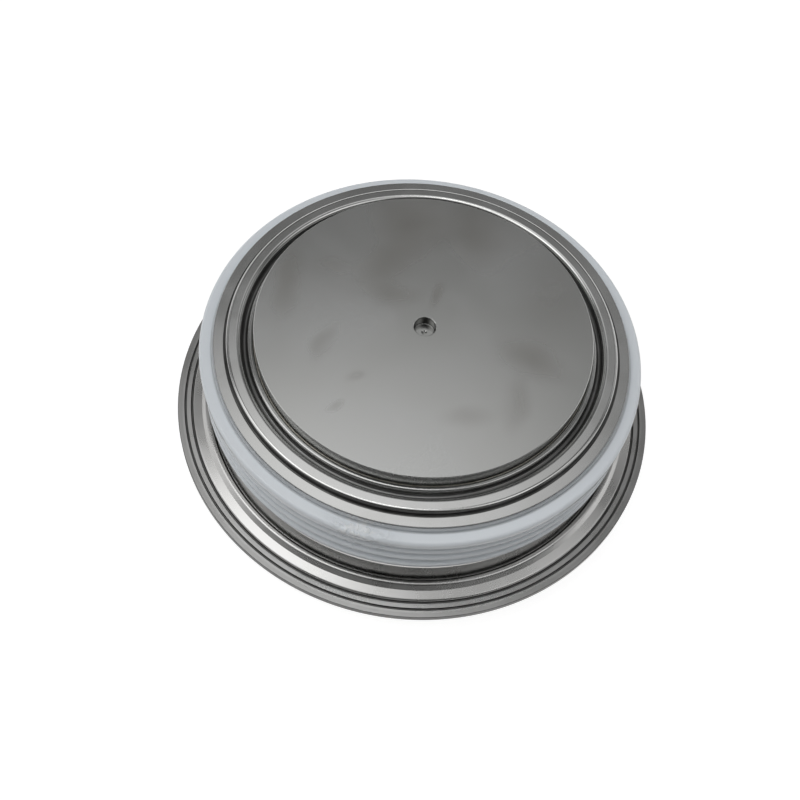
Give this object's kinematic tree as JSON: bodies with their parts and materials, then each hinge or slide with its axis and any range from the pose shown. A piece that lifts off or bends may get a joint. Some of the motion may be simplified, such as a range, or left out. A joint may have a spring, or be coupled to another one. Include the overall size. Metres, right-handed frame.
{
  "type": "press-pack thyristor",
  "caption": "Round ceramic press-pack thyristor with flat nickel-plated clamping faces, a ribbed ceramic wall, a wide weld rim and a gate tube.",
  "frame": {"origin": "centre of the lower clamping face, which is also the bottom centre of the part's box", "axes": "+Z runs along the stack from the lower to the upper clamping face; +Y points out along the gate tube"},
  "size_m": [0.0814, 0.0814, 0.026],
  "materials": {
    "nickel_plate": "satin nickel plate on copper",
    "nickel_sheet": "nickel-plated formed sheet",
    "braze": "silver-copper braze",
    "glazed_alumina": "glazed white alumina",
    "silver_foil": "soft annealed silver",
    "molybdenum": "lapped molybdenum",
    "silicon": "polished silicon",
    "silicone_rubber": "cast silicone rubber",
    "fluoroplastic": "turned fluoroplastic",
    "spring_steel": "drawn spring wire",
    "silver_wire": "silver-plated wire",
    "solder": "tin solder"
  },
  "bodies": {
    "root": {"cathode_pole": "nickel_plate", "cathode_pole_braze": "braze", "cathode_diaphragm": "nickel_sheet", "upper_ceramic_braze": "braze", "ceramic_ring": "glazed_alumina", "lower_ceramic_braze": "braze", "weld_flange": "nickel_sheet", "anode_cover": "nickel_sheet", "anode_pole_braze": "braze", "anode_pole": "nickel_plate", "anode_silver_foil": "silver_foil", "anode_molybdenum_disc": "molybdenum", "silicon_wafer": "silicon", "wafer_edge_rubber": "silicone_rubber", "cathode_molybdenum_disc": "molybdenum", "cathode_silver_foil": "silver_foil", "locating_ring": "fluoroplastic", "gate_guide_bush": "fluoroplastic", "gate_contact_pin": "silver_wire", "gate_spring": "spring_steel", "gate_insulating_cup": "fluoroplastic", "gate_lead": "silver_wire", "gate_lead_sleeve": "fluoroplastic", "gate_tube": "nickel_sheet", "gate_tube_collar": "nickel_sheet", "gate_tube_seal": "solder"}
  },
  "joints": []
}
